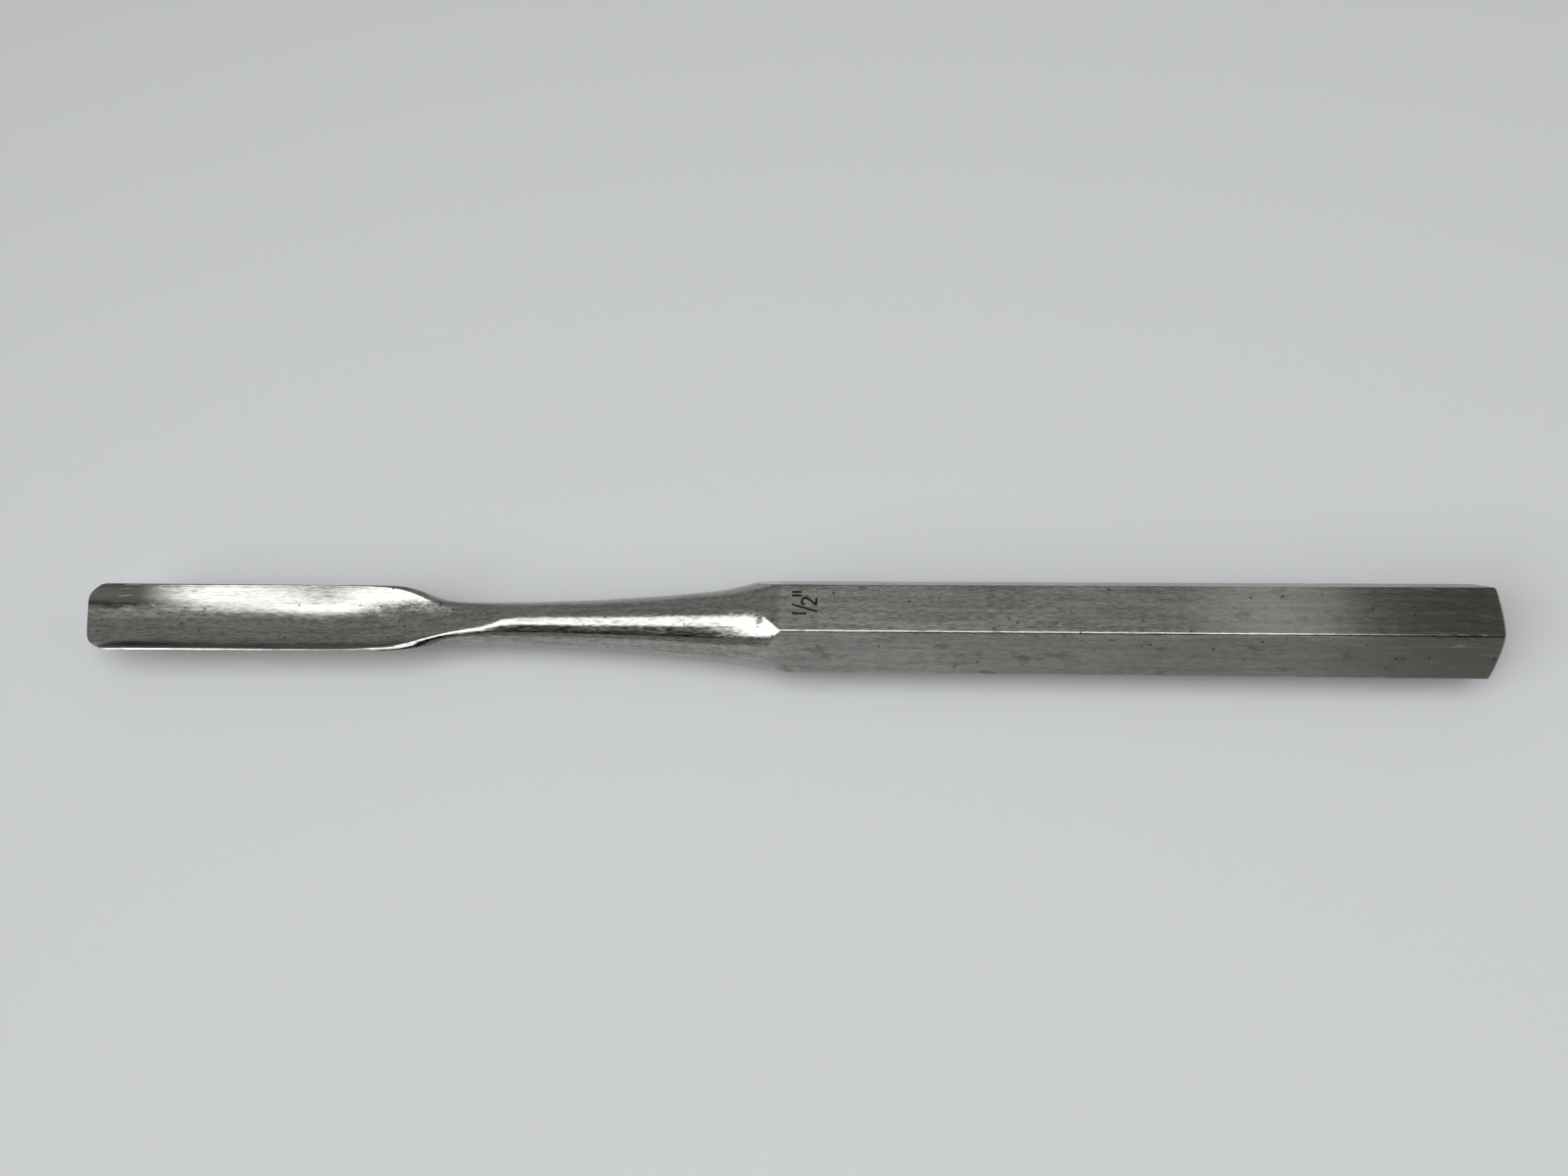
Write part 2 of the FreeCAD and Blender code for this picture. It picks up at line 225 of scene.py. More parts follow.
# The room's light by direction. A turn is an angle round the bar, from the
# front over the top to the back. A share is that of +X in the direction
LOW_LIGHT = 0.30
LOW_FALL = (math.radians(18), math.radians(24))
BACK_LIGHT = (0.01, 0.33)
BACK_RISE = (math.radians(52), math.radians(95))
END_LIGHT = 0.65
END_RISE = (0.33, 0.55)
WINDOW_LIGHT = 4.2
WINDOW_BOTTOM = (math.radians(26), math.radians(31))
WINDOW_TOP = (math.radians(62), math.radians(94))
WINDOW_TOP_SLANT = (-0.54, -0.41)
WINDOW_CORNER = math.radians(24)
WINDOW_CORNER_SLANT = (-0.68, -0.58)
WINDOW_BLUR = 0.08
WINDOW_LEFT = (-0.88, -0.80)
WINDOW_RIGHT = (-0.45, -0.40)


# The form

def smooth(share):
    """An S curve from 0 to 1: three times the square less twice the cube."""
    share = np.clip(share, 0.0, 1.0)
    return share * share * (3.0 - 2.0 * share)


def softly_least(first, second, width):
    """The lesser of two, rounded over where they are nearer than width."""
    near = np.clip(0.5 + 0.5 * (second - first) / width, 0.0, 1.0)
    return second + (first - second) * near - width * near * (1.0 - near)


def graded(start, end, first_step, last_step):
    """Places from start up to end, with steps that grow by a fixed ratio."""
    mean = (last_step - first_step) / math.log(last_step / first_step)
    count = max(2, round((end - start) / mean))
    steps = np.geomspace(first_step, last_step, count)
    return start + np.concatenate(([0.0], np.cumsum(steps)[:-1])) * (end - start) / steps.sum()


def bar_stations():
    """Places along the bar, each stretch running up to the next."""
    ends = [start for start, _, _ in STRETCHES[1:]] + [LAST_STATION]
    return np.concatenate([
        graded(start, end, first * MM, last * MM)
        for (start, first, last), end in zip(STRETCHES, ends)])


def neck_radius(along):
    """Radius of the turned neck: three hollow arcs that touch each other.

    The lip's centre lies square to its end slope, at the hexagon's corner.
    The flare's centre lies in line with the lip's and the point where they
    touch. The long arc leaves the waist level, and touches the flare."""
    gap = FLARE_RADIUS - LIP_RADIUS
    flare_centre = (
        LIP_CENTRE[0] - gap * math.sin(LIP_START_SLOPE),
        LIP_CENTRE[1] + gap * math.cos(LIP_START_SLOPE),
    )
    run, rise = flare_centre[0] - NECK_X, flare_centre[1] - NECK_RADIUS
    long_radius = (run ** 2 + rise ** 2 - FLARE_RADIUS ** 2) / (2 * (rise - FLARE_RADIUS))
    flare_start = NECK_X + long_radius * run / (long_radius - FLARE_RADIUS)
    lip_start = LIP_CENTRE[0] + LIP_RADIUS * math.sin(LIP_START_SLOPE)

    def hollow(centre, radius):
        """Height of an arc's lower side, held level far from its centre."""
        away = np.clip(along - centre[0], -0.9 * radius, 0.9 * radius)
        return centre[1] - np.sqrt(radius ** 2 - away ** 2)

    waist = hollow((NECK_X, NECK_RADIUS + long_radius), long_radius)
    radius = np.where(along < NECK_X, NECK_RADIUS, waist)
    radius = np.where(along > flare_start, hollow(flare_centre, FLARE_RADIUS), radius)
    return np.where(along > lip_start, hollow(LIP_CENTRE, LIP_RADIUS), radius)


def lip_place(radius):
    """Where along the bar the lip has a given radius."""
    return LIP_CENTRE[0] + np.sqrt(LIP_RADIUS ** 2 - (LIP_CENTRE[1] - radius) ** 2)


def shoulder_share(along):
    """How far the section has turned from blade to neck, 0 to 1.

    Two parabolas that meet with one slope, curving in and then out."""
    way = np.clip((along - SHOULDER_X) / SHOULDER_LENGTH, 0.0, 1.0)
    return np.where(way < SHOULDER_TURN, way ** 2 / SHOULDER_TURN,
                    1.0 - (1.0 - way) ** 2 / (1.0 - SHOULDER_TURN))


def section_sizes(along):
    """Half width, rim height, crown and depth of the section at each place."""
    way = np.clip((along - EDGE_X) / BLADE_LENGTH, 0.0, 1.0)
    share = shoulder_share(along)
    neck = neck_radius(along)
    half_width = TIP_HALF_WIDTH + (ROOT_HALF_WIDTH - TIP_HALF_WIDTH) * way
    half_width = half_width + (neck - half_width) * share
    rim = RIM_RISE * (1.0 - share)
    crown = RIM_CROWN + (neck - RIM_CROWN) * share
    depth = BLADE_DEPTH + (neck - BLADE_DEPTH) * share
    return half_width, rim, crown, depth


def arc_radius(half_width, bulge):
    """Radius of an arc, from half its chord and its height over the chord."""
    return (half_width ** 2 + bulge ** 2) / (2.0 * bulge)


def trough_height(along, across):
    """Height of the cutter's floor: level, then the inside of a ring.

    Across, the cutter is a circle. On the run-out it swings about a line
    across the bar, so its points lie on circles round that line."""
    reach = RUNOUT_RADIUS - TROUGH_RADIUS + np.sqrt(
        np.maximum(TROUGH_RADIUS ** 2 - across ** 2, 0.0))
    beyond = np.clip(along - RUNOUT_X, 0.0, RUNOUT_END)
    return TROUGH_FLOOR + RUNOUT_RADIUS - np.sqrt(reach ** 2 - beyond ** 2)


def trough_half_width(along):
    """Half the width of the trough where its circle meets the crown's."""
    half_width, rim, crown, _ = section_sizes(along)
    crown_radius = arc_radius(half_width, crown)
    crown_centre = rim + crown - crown_radius
    centre = trough_height(along, 0.0) + TROUGH_RADIUS
    height = (TROUGH_RADIUS ** 2 - crown_radius ** 2 - centre ** 2 + crown_centre ** 2) / (
        2.0 * (crown_centre - centre))
    return np.sqrt(np.maximum(crown_radius ** 2 - (height - crown_centre) ** 2, 0.0))


def column_shares(along):
    """Shares of the half ring, from -1 to 1, at which the columns stand.

    On the blade the first and last few columns cover the rims' ground lands
    and the rest the trough. On the neck they are even. On the handle they
    crowd at the hexagon's corners, by the hyperbolic sine of the way."""
    even = np.linspace(-1.0, 1.0, COLUMNS + 1)
    half_width, _, _, depth = section_sizes(along)
    half_angle = 2.0 * np.arctan(depth / half_width)
    trough = trough_half_width(along) * np.sin(half_angle) / half_width
    crease = np.arcsin(np.clip(trough, 0.0, 1.0)) / half_angle
    crease = np.maximum(crease, LEAST_CREASE)[:, None]
    rank = np.abs(np.arange(COLUMNS + 1) - COLUMNS / 2)
    trough_columns = COLUMNS / 2 - RIM_COLUMNS
    land = np.clip((rank - trough_columns) / RIM_COLUMNS, 0.0, 1.0)
    inside = np.clip(rank / trough_columns, 0.0, 1.0)
    blade = np.sign(even) * (inside * crease + land * (1.0 - crease))

    step = (np.arange(FLAT_COLUMNS + 1) - FLAT_COLUMNS / 2) / (FLAT_COLUMNS / 2)
    crowded = np.sinh(CORNER_CROWDING * (1.0 - np.abs(step))) / np.sinh(CORNER_CROWDING)
    flat = np.sign(step) * (1.0 - crowded)
    handle = np.concatenate([(flat[:-1] + 2 * side) / 3 for side in (-1, 0, 1)] + [[1.0]])

    to_neck = smooth((along - NECK_X - 1 * MM) / (26 * MM))[:, None]
    to_handle = smooth((along - HANDLE_X + 16 * MM) / (14 * MM))[:, None]
    shares = blade + (even - blade) * to_neck
    return shares + (handle - shares) * to_handle, half_angle


def hexagon_radius(turn):
    """Distance of the rounded hexagon's outline from the axis.

    turn is the angle from the top. A flat stands at the apothem, and each
    corner is a small arc that touches the two flats beside it."""
    off_corner = np.abs((turn + SECTOR / 2) % SECTOR)
    off_corner = np.minimum(off_corner, SECTOR - off_corner)
    centre = (APOTHEM - EDGE_ROUND) / math.cos(SECTOR / 2)
    touch = math.atan2(EDGE_ROUND * math.sin(SECTOR / 2), centre + EDGE_ROUND * math.cos(SECTOR / 2))
    round_part = centre * np.cos(off_corner) + np.sqrt(
        np.maximum(EDGE_ROUND ** 2 - (centre * np.sin(off_corner)) ** 2, 0.0))
    return np.where(off_corner < touch, round_part, APOTHEM / np.cos(SECTOR / 2 - off_corner))


def nicks(place, turn):
    """How deep the nicks go: bell-shaped dips added together."""
    dip = np.zeros_like(turn)
    for along, angle, depth, length in NICKS:
        off = (np.degrees(turn) - angle) / NICK_WIDTH
        dip += depth * MM * np.exp(-((place / MM - along) / length) ** 2 - off ** 2)
    return dip


def cutting_edge(across):
    """How far the cutting edge lies behind its foremost point.

    On each side it falls back by powers of the way from that point to the
    corner, added together."""
    front = np.maximum((TIP_ACROSS - across) / (TIP_ACROSS + TIP_HALF_WIDTH), 0.0)
    back = np.maximum((across - TIP_ACROSS) / (TIP_HALF_WIDTH - TIP_ACROSS), 0.0)
    worn = sum(depth * front ** power for depth, power in FRONT_WEAR)
    return worn + sum(depth * back ** power for depth, power in BACK_WEAR)


def edge_reach(across):
    """Distance of the cutting edge from the line on which the bevel is ground."""
    crown_radius = arc_radius(TIP_HALF_WIDTH, RIM_CROWN)
    top = RIM_RISE + RIM_CROWN - crown_radius + np.sqrt(crown_radius ** 2 - across ** 2)
    top = np.minimum(top, trough_height(np.float64(EDGE_X), across))
    return np.hypot(across, top - TROUGH_FLOOR - BEVEL_RADIUS)


def ring_points():
    """The bar's surface as a grid of rings, from the cutting edge to the
    last ring before the butt. Each ring runs over the top from +Y to -Y,
    and back underneath."""
    along = bar_stations()
    shares, half_angle = column_shares(along)
    turn = shares * half_angle[:, None]
    half_width, rim, crown, depth = [size[:, None] for size in section_sizes(along)]
    across = half_width * np.sin(turn) / np.sin(half_angle[:, None])

    # Near the tip the rings follow the cutting edge, near the handle the
    # scalloped line between the turned lip and the flats
    tip = 1.0 - smooth((along - EDGE_X) / TIP_REACH)[:, None]
    junction = 1.0 - smooth(np.abs(along - HANDLE_X) / JUNCTION_REACH)[:, None]
    scallop = lip_place(hexagon_radius(turn)) - HANDLE_X
    lean = -JUNCTION_LEAN * hexagon_radius(turn) * np.sin(turn) * junction
    place = along[:, None] + cutting_edge(across[0]) * tip + scallop * junction + lean

    # The upper side: the crown, eased at its outer edges
    on_shoulder = shoulder_share(along)[:, None]
    crown_radius = arc_radius(half_width, crown)
    top = rim + crown - crown_radius + np.sqrt(np.maximum(crown_radius ** 2 - across ** 2, 0.0))
    eased = np.clip(1.0 - (half_width - np.abs(across)) / RIM_EASE_WIDTH, 0.0, 1.0)
    top = top - RIM_EASE * eased ** 2 * (1.0 - on_shoulder)

    # The trough is cut into it, and fades out on the neck
    softness = LAND_CREASE + SHOULDER_CREASE * on_shoulder ** 2
    cut = softly_least(top, trough_height(place, across), softness)
    fade = smooth((NECK_X + TROUGH_FADE_END - along) / (TROUGH_FADE_END - TROUGH_FADE_START))[:, None]
    top = top + (cut - top) * fade

    # The under side is an arc as deep as the blade, with the bevel ground
    # off it as a cone that widens from the cutting edge
    depth_radius = arc_radius(half_width, depth)
    under = rim - depth + depth_radius - np.sqrt(np.maximum(depth_radius ** 2 - across ** 2, 0.0))
    behind_edge = place - EDGE_X - cutting_edge(across)
    cone = edge_reach(across) + behind_edge * math.tan(BEVEL_SLOPE)
    ground = TROUGH_FLOOR + BEVEL_RADIUS - np.sqrt(np.maximum(cone ** 2 - across ** 2, 0.0))
    under = np.where(along[:, None] < EDGE_X + BEVEL_REACH, np.maximum(under, ground), under)
    under = np.where(along[:, None] < NECK_X - 2 * MM, np.minimum(under, top), under)

    # Where the turned neck would stand out of the hexagon, the flats stay
    radius = neck_radius(place - lean)
    outline = softly_least(radius, hexagon_radius(turn), JUNCTION_CREASE) - nicks(place, turn)
    scale = np.where(along[:, None] > NECK_X + 8 * MM, outline / half_width, 1.0)
    upper = np.stack((place, across * scale, AXIS_Z + top * scale), axis=-1)
    lower = np.stack((place, across * scale, AXIS_Z + under * scale), axis=-1)
    return upper[:, ::-1], lower


def butt_points(last_ring):
    """Rings over the worn edge and the crowned end, and the end's middle.

    The worn edge is part of a round, from a crease at the flats to the
    dome, and its radius wavers round the ring. The front of the dome is
    worn down by the square of the way out. Past the edge the rings shrink
    to the middle of the dome, each a smaller copy of the hexagon."""
    flat = last_ring[:, 1:] - (0.0, AXIS_Z)
    reach = np.hypot(flat[:, 0], flat[:, 1])
    turn = np.arctan2(flat[:, 0], flat[:, 1])
    waver = sum(share * np.sin(count * turn + start) for share, count, start in BUTT_WAVES)
    worn = BUTT_ROUND * (1.0 + waver)

    roll = np.linspace(BUTT_ROLL_START, math.pi / 2, BUTT_ROLL_RINGS)[:, None]
    inward = worn * (math.cos(BUTT_ROLL_START) - np.cos(roll))
    drop = worn * (1.0 - np.sin(roll))
    shrink = np.linspace(0.0, 1.0, BUTT_DOME_RINGS + 2)[1:-1, None]
    to_middle = inward[-1:] + (APOTHEM - inward[-1:]) * shrink
    inward = np.concatenate((inward[:1], inward, to_middle))
    drop = np.concatenate((drop[:1] + BUTT_CREASE, drop, np.zeros_like(to_middle)))

    scale = 1.0 - inward / APOTHEM
    dome = BUTT_DOME_RADIUS - np.sqrt(BUTT_DOME_RADIUS ** 2 - (reach * scale) ** 2)
    front = np.maximum(-flat[:, 0] * scale / APOTHEM, 0.0)
    dome = dome + BUTT_WEAR * front ** 2
    rings = np.stack((BUTT_X - dome - drop, flat[:, 0] * scale, AXIS_Z + flat[:, 1] * scale), axis=-1)
    return rings, np.array([[BUTT_X, 0.0, AXIS_Z]])


def ring_faces(first, second):
    """Four-sided faces between two closed rings of point numbers."""
    return np.stack((first, np.roll(first, -1), np.roll(second, -1), second), axis=-1).reshape(-1, 4)


def new_piece(name, points, faces):
    """A smooth-shaded object from an array of points and lists of faces."""
    mesh = bpy.data.meshes.new(name)
    mesh.from_pydata(points, [], faces)
    mesh.shade_smooth()
    piece = bpy.data.objects.new(name, mesh)
    bpy.context.scene.collection.objects.link(piece)
    return piece


def gouge_steel():
    """The whole gouge as one closed skin.

    The first ring is the cutting edge, where the upper and the under side
    share their points. The last point is the middle of the butt."""
    upper, lower = ring_points()
    rings = np.concatenate((upper, lower[:, 1:-1]), axis=1)
    ends, middle = butt_points(rings[-1])
    edge = upper[0]
    rings = np.concatenate((rings[1:], ends))
    points = np.concatenate((edge, rings.reshape(-1, 3), middle))

    around = 2 * COLUMNS
    edge_numbers = np.concatenate((np.arange(COLUMNS + 1), np.arange(COLUMNS - 1, 0, -1)))
    numbers = COLUMNS + 1 + np.arange(len(rings) * around).reshape(len(rings), around)
    numbers = np.concatenate((edge_numbers[None, :], numbers))
    quads = np.concatenate([ring_faces(first, second) for first, second in zip(numbers[:-1], numbers[1:])])
    last = numbers[-1]
    fan = np.stack((last, np.roll(last, -1), np.full(around, len(points) - 1)), axis=-1)
    piece = new_piece("gouge_steel", points, quads.tolist() + fan.tolist())

    # Where the skin is the cutter's trough, for the steel's finish
    off_trough = np.abs(points[:, 2] - AXIS_Z - trough_height(points[:, 0], points[:, 1]))
    inside = (off_trough < 0.04 * MM) & (points[:, 0] < NECK_X)
    trough = piece.data.attributes.new("trough", "FLOAT", "POINT")
    trough.data.foreach_set("value", inside.astype(np.float32))
    return piece


def ribbon(line, width, low, high):
    """A flat bar along a line of points: its two sides stand off square to
    the line's own direction, at half the width."""
    step = np.gradient(line, axis=0)
    step /= np.linalg.norm(step, axis=1, keepdims=True)
    aside = np.stack((-step[:, 1], step[:, 0]), axis=-1) * width / 2
    left, right = line + aside, line - aside
    ring = []
    for side, height in ((left, low), (right, low), (right, high), (left, high)):
        ring.append(np.column_stack((side, np.full(len(side), height))))
    points = np.stack(ring, axis=1).reshape(-1, 3)
    numbers = np.arange(len(points)).reshape(len(line), 4)
    faces = [ring_faces(first, second) for first, second in zip(numbers[:-1], numbers[1:])]
    faces = np.concatenate(faces).tolist()
    return points, faces + [numbers[0][::-1].tolist(), numbers[-1].tolist()]


def figure_two():
    """The two strokes of a 2: an open bow with a slanted neck, and a foot."""
    left, right = MARK_TWO_SIDES
    foot, head = MARK_TWO_ENDS
    radius = (right - left) / 2
    turn = np.linspace(*MARK_BOW, 24)
    bow = np.stack((left + radius * (1.0 + np.cos(turn)), head - radius * (1.0 - np.sin(turn))), axis=-1)
    neck = np.linspace(bow[-1], (left, foot), 8)[1:]
    level = np.linspace((left, foot), (right, foot), 8)
    return np.concatenate((bow, neck)), level


def size_mark():
    """The half inch mark, black, lying in the top flat.

    It reads from the front edge to the back, with its head to the blade."""
    strokes = [np.linspace(*MARK_ONE, 6), np.linspace(*MARK_SLASH, 6), *figure_two()]
    low, high = MARK_TICK_ENDS
    strokes += [np.linspace((side, low), (side, high), 5) for side in MARK_TICKS]
    bottom, top = AXIS_Z + APOTHEM - MARK_DEPTH, AXIS_Z + APOTHEM + MARK_PROUD
    points, faces = [], []
    for stroke in strokes:
        line = np.stack((-stroke[:, 1], stroke[:, 0]), axis=-1) * MM
        more_points, more_faces = ribbon(line, MARK_WIDTH, bottom, top)
        faces += [[number + len(points) for number in face] for face in more_faces]
        points += more_points.tolist()
    return new_piece("size_mark", points, faces)


def bench_top():
    """A square level face under the bar."""
    half = BENCH_SIZE / 2
    corners = ((-half, -half), (half, -half), (half, half), (-half, half))
    return new_piece("bench_top", [(*corner, BENCH_Z) for corner in corners], [[0, 1, 2, 3]])


# Materials

def plain_material(name, color, roughness, metallic):
    """A material of one colour, to be finished by its own nodes."""
    material = bpy.data.materials.new(name)
    material.use_nodes = True
    shader = material.node_tree.nodes["Principled BSDF"]
    shader.inputs["Base Color"].default_value = (*color, 1.0)
    shader.inputs["Roughness"].default_value = roughness
    shader.inputs["Metallic"].default_value = metallic
    return material


def wire(tree, source, target):
    """Joins an output to an input, or sets a plain number or colour on it."""
    if isinstance(source, bpy.types.NodeSocket):
        tree.links.new(source, target)
    else:
        target.default_value = source


def math_node(tree, operation, first, second):
    """One step of arithmetic on two values, each an output or a number."""
    node = tree.nodes.new("ShaderNodeMath")
    node.operation = operation
    wire(tree, first, node.inputs[0])
    wire(tree, second, node.inputs[1])
    return node.outputs[0]


def times(tree, first, *others):
    """Values multiplied together."""
    for other in others:
        first = math_node(tree, "MULTIPLY", first, other)
    return first


def plus(tree, first, *others):
    """Values added together."""
    for other in others:
        first = math_node(tree, "ADD", first, other)
    return first


def ease(tree, value, low, high, result_low=0.0, result_high=1.0):
    """A smooth step from one result to another between two values."""
    node = tree.nodes.new("ShaderNodeMapRange")
    node.interpolation_type = "SMOOTHSTEP"
    limits = {"From Min": low, "From Max": high, "To Min": result_low, "To Max": result_high}
    for name, number in limits.items():
        node.inputs[name].default_value = number
    wire(tree, value, node.inputs["Value"])
    return node.outputs["Result"]


def rise(tree, value, span):
    """0 before a span, 1 after it."""
    return ease(tree, value, *span)


def fall(tree, value, span):
    """1 before a span, 0 after it."""
    return ease(tree, value, *span, 1.0, 0.0)


def blend(tree, share, first, second):
    """A mix of two colours."""
    node = tree.nodes.new("ShaderNodeMix")
    node.data_type = "RGBA"
    wire(tree, share, node.inputs[0])
    wire(tree, first, node.inputs[6])
    wire(tree, second, node.inputs[7])
    return node.outputs[2]


def place_parts(tree, kind):
    """X, Y and Z of the piece's own coordinates, or of a direction."""
    split = tree.nodes.new("ShaderNodeSeparateXYZ")
    wire(tree, tree.nodes.new("ShaderNodeTexCoord").outputs[kind], split.inputs[0])
    return split.outputs


def stretched_place(tree, scale, turn=0.0):
    """The piece's own coordinates, stretched along the bar."""
    place = tree.nodes.new("ShaderNodeTexCoord").outputs["Object"]
    node = tree.nodes.new("ShaderNodeMapping")
    node.inputs["Scale"].default_value = scale
    node.inputs["Rotation"].default_value = (0.0, 0.0, math.radians(turn))
    wire(tree, place, node.inputs["Vector"])
    return node.outputs["Vector"]


def grain(tree, scale, detail):
    """Noise in the stretched coordinates."""
    node = tree.nodes.new("ShaderNodeTexNoise")
    node.inputs["Scale"].default_value = 1.0
    node.inputs["Detail"].default_value = detail
    node.inputs["Roughness"].default_value = 0.6
    wire(tree, stretched_place(tree, scale), node.inputs["Vector"])
    return node.outputs[0]


def cell_pattern(tree, scale, turn=0.0):
    """Random cells in the stretched coordinates."""
    cells = tree.nodes.new("ShaderNodeTexVoronoi")
    cells.inputs["Scale"].default_value = 1.0
    wire(tree, stretched_place(tree, scale, turn), cells.inputs["Vector"])
    return cells


def new_group(name, output):
    """A shared effect with one value as its output."""
    group = bpy.data.node_groups.new(name, "ShaderNodeTree")
    group.interface.new_socket(output, in_out="OUTPUT", socket_type="NodeSocketFloat")
    return group, group.nodes.new("NodeGroupOutput").inputs[0]


def brushing():
    """Fine lines along the bar, from polishing with a belt."""
    group, out = new_group("brushing", "lines")
    fine = ease(group, grain(group, (620.0, 5000.0, 5000.0), 2.0), 0.38, 0.62)
    broad = ease(group, grain(group, (60.0, 1300.0, 1300.0), 3.0), 0.32, 0.68)
    wire(group, plus(group, times(group, fine, 0.6), times(group, broad, 0.4)), out)
    return group


def scratches():
    """Sparse thin scratches, nearly along the bar."""
    group, out = new_group("scratches", "scratch")
    cells = cell_pattern(group, (70.0, 1300.0, 1300.0), 1.2)
    cells.feature = "DISTANCE_TO_EDGE"
    thin = fall(group, cells.outputs["Distance"], (0.0, 0.035))
    some = ease(group, grain(group, (130.0, 900.0, 900.0), 1.0), 0.52, 0.62)
    wire(group, times(group, thin, some), out)
    return group


def pits():
    """Small round pits, in a few of many cells."""
    group, out = new_group("pits", "pit")
    cells = cell_pattern(group, (800.0, 1000.0, 1000.0))
    spot = fall(group, cells.outputs["Distance"], (0.10, 0.25))
    chosen = group.nodes.new("ShaderNodeSeparateColor")
    wire(group, cells.outputs["Color"], chosen.inputs[0])
    wire(group, times(group, spot, ease(group, chosen.outputs[0], 0.885, 0.91)), out)
    return group


def stains():
    """Dull smudges with ragged outlines."""
    group, out = new_group("stains", "stain")
    wire(group, ease(group, grain(group, (190.0, 420.0, 420.0), 6.0), 0.57, 0.66), out)
    return group


def use_group(tree, group):
    """A shared effect placed in a material."""
    node = tree.nodes.new("ShaderNodeGroup")
    node.node_tree = group
    return node.outputs[0]


def satin_steel():
    """Stainless steel with belt lines, scratches, pits and smudges.

    The butt end is painted dark olive as shade, a stretch of the top flat
    before it is painted bright as a highlight, the side flats are painted
    darker brown as shade, and the trough is painted near-black as shade behind its edge."""
    material = plain_material("satin_steel", (0.30, 0.29, 0.265), 0.2, 1.0)
    tree = material.node_tree
    shader = tree.nodes["Principled BSDF"]
    lines, scratch, pit, stain = [use_group(tree, group()) for group in (brushing, scratches, pits, stains)]
    along, across, up = place_parts(tree, "Object")
    handle = ease(tree, along, HANDLE_X - 1 * MM, HANDLE_X + 1 * MM)
    trough = tree.nodes.new("ShaderNodeAttribute")
    trough.attribute_name = "trough"
    trough = trough.outputs["Fac"]

    # Painted shade at the butt end
    butt_shade = times(tree, rise(tree, along, BUTT_SHADE_RISE), fall(tree, along, BUTT_SHADE_FALL))
    # Painted highlight on the top flat
    top_highlight = times(tree, rise(tree, along, TOP_HIGHLIGHT_RISE), fall(tree, along, TOP_HIGHLIGHT_FALL))
    top_highlight = times(tree, top_highlight, rise(tree, up, TOP_FLAT_RISE))
    # Painted shade on the side flats
    side_shade = times(tree, rise(tree, along, SIDE_SHADE_RISE), fall(tree, up, SIDE_FLATS_FALL))
    # Painted shade in the trough behind its edge
    trough_shade = times(tree, fall(tree, along, TROUGH_SHADE_FALL), rise(tree, across, TROUGH_SHADE_ACROSS), trough)
    smudge = times(tree, stain, ease(tree, handle, 0.0, 1.0, 0.12, 0.55))

    tone = blend(tree, lines, BELT_DARK, BELT_BRIGHT)
    layers = (
        (handle, 0.3, HANDLE_GREY),
        (top_highlight, 0.6, TOP_FLAT_HIGHLIGHT),
        (butt_shade, 0.78, BUTT_SHADE_OLIVE),
        (trough_shade, 0.96, TROUGH_SHADE_DARK),
        (side_shade, 0.45, SIDE_SHADE_BROWN),
        (smudge, 1.0, SMUDGE_BROWN),
        (scratch, 0.35, SCRATCH_BRIGHT),
        (pit, 0.9, PIT_BLACK),
    )
    for mask, strength, color in layers:
        tone = blend(tree, times(tree, mask, strength), tone, color)
    wire(tree, tone, shader.inputs["Base Color"])

    rough = ease(tree, lines, 0.0, 1.0, 0.11, 0.19)
    for mask, strength in ((handle, 0.12), (trough, 0.04), (stain, 0.10)):
        rough = plus(tree, rough, times(tree, mask, strength))
    wire(tree, rough, shader.inputs["Roughness"])

    height = math_node(tree, "SUBTRACT", lines, pit)
    height = times(tree, height, ease(tree, handle, 0.0, 1.0, 0.3, 0.6))
    bump = tree.nodes.new("ShaderNodeBump")
    bump.inputs["Distance"].default_value = BUMP_HEIGHT
    wire(tree, height, bump.inputs["Height"])
    wire(tree, bump.outputs["Normal"], shader.inputs["Normal"])
    return material


def mark_black():
    """Matt black ink."""
    material = plain_material("mark_black", (0.008, 0.008, 0.008), 0.6, 0.0)
    material.node_tree.nodes["Principled BSDF"].inputs["Specular IOR Level"].default_value = 0.1
    return material


# Light and camera

def soft_box(name, middle, aim, size, power):
    """A plain oval lamp that faces a point."""
    lamp = bpy.data.lights.new(name, "AREA")
    lamp.shape = "ELLIPSE"
    lamp.size, lamp.size_y = size
    lamp.energy = power
    piece = bpy.data.objects.new(name, lamp)
    bpy.context.scene.collection.objects.link(piece)
    away = np.array(middle) - np.array(aim)
    away = away / np.linalg.norm(away)
    side = np.cross((0.0, 1.0, 0.0), away)
    side = side / np.linalg.norm(side)
    turn = np.column_stack((side, np.cross(away, side), away))
    piece.matrix_world = Matrix.Translation(middle) @ Matrix(turn.tolist()).to_4x4()
    return piece


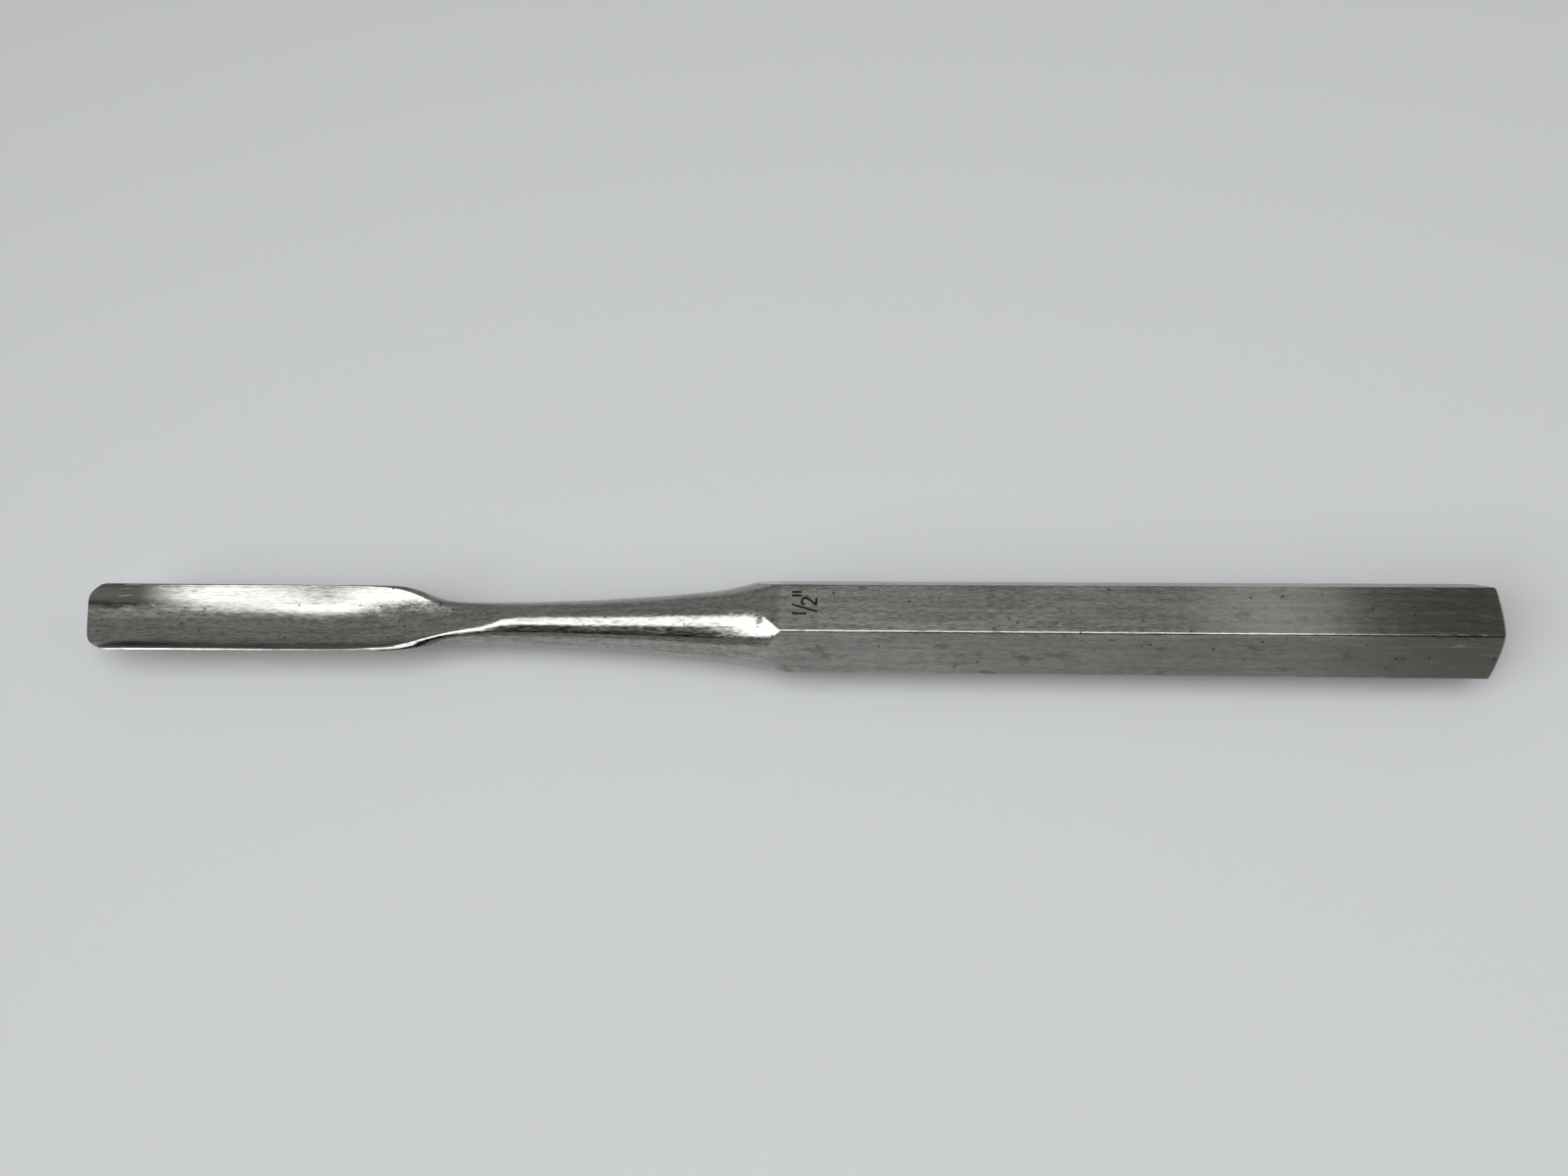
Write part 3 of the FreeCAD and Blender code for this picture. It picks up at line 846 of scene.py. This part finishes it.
def room_light():
    """A grey room with a dark band in front, over the bench's horizon, and a
    high window to the left, whose top slants down at its left corner."""
    world = bpy.data.worlds.new("room")
    bpy.context.scene.world = world
    world.use_nodes = True
    tree = world.node_tree
    along, across, up = place_parts(tree, "Generated")
    turn = math_node(tree, "ARCTAN2", up, times(tree, across, -1.0))

    low = ease(tree, turn, *LOW_FALL, LOW_LIGHT, 0.0)
    back = ease(tree, turn, *BACK_RISE, *BACK_LIGHT)
    room = times(tree, plus(tree, low, back), ease(tree, along, *END_RISE, 1.0, END_LIGHT))

    top = ease(tree, along, *WINDOW_TOP_SLANT, *WINDOW_TOP)
    top = plus(tree, top, ease(tree, along, *WINDOW_CORNER_SLANT, WINDOW_CORNER, 0.0))
    below_top = fall(tree, math_node(tree, "SUBTRACT", turn, top), (-WINDOW_BLUR, WINDOW_BLUR))
    window = times(tree, rise(tree, turn, WINDOW_BOTTOM), below_top)
    window = times(tree, window, fall(tree, along, WINDOW_RIGHT), rise(tree, along, WINDOW_LEFT))

    light = plus(tree, room, times(tree, window, WINDOW_LIGHT))
    wire(tree, light, tree.nodes["Background"].inputs["Strength"])
    tree.nodes["Background"].inputs["Color"].default_value = (1.0, 1.0, 1.0, 1.0)


def photo_camera():
    """The camera of the photograph: above the bar and a little in front."""
    yaw, pitch, roll = (math.radians(angle) for angle in CAMERA_TURN)
    forward = np.array((math.sin(yaw) * math.cos(pitch), math.cos(yaw) * math.cos(pitch), -math.sin(pitch)))
    side = np.cross(forward, (0.0, 0.0, 1.0))
    side /= np.linalg.norm(side)
    up = np.cross(side, forward)
    rolled_side = math.cos(roll) * side + math.sin(roll) * up
    rolled_up = math.cos(roll) * up - math.sin(roll) * side
    camera = bpy.data.objects.new("camera", bpy.data.cameras.new("camera"))
    camera.data.lens = CAMERA_LENS
    camera.data.clip_start = 0.01
    bpy.context.scene.collection.objects.link(camera)
    turn = Matrix(np.column_stack((rolled_side, rolled_up, -forward)).tolist())
    camera.matrix_world = Matrix.Translation(CAMERA_PLACE) @ turn.to_4x4()
    bpy.context.scene.camera = camera


# The gouge and its stage

gouge = gouge_steel()
gouge.data.materials.append(satin_steel())
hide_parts("gouge")
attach(gouge, "root")

mark = size_mark()
mark.data.materials.append(mark_black())
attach(mark, "root")

bench = bench_top()
bench.data.materials.append(plain_material("pale_bench", (0.575, 0.59, 0.597), 0.9, 0.0))

soft_box("overhead_softbox", (-0.03, -0.13, 0.60), (-0.03, -0.13, 0.0), (0.72, 0.50), 2.4)
soft_box("end_softbox", (0.75, -0.05, 0.42), (0.12, 0.0, 0.007), (0.35, 0.35), 0.6)
room_light()
photo_camera()
bpy.context.scene.view_settings.view_transform = "Standard"
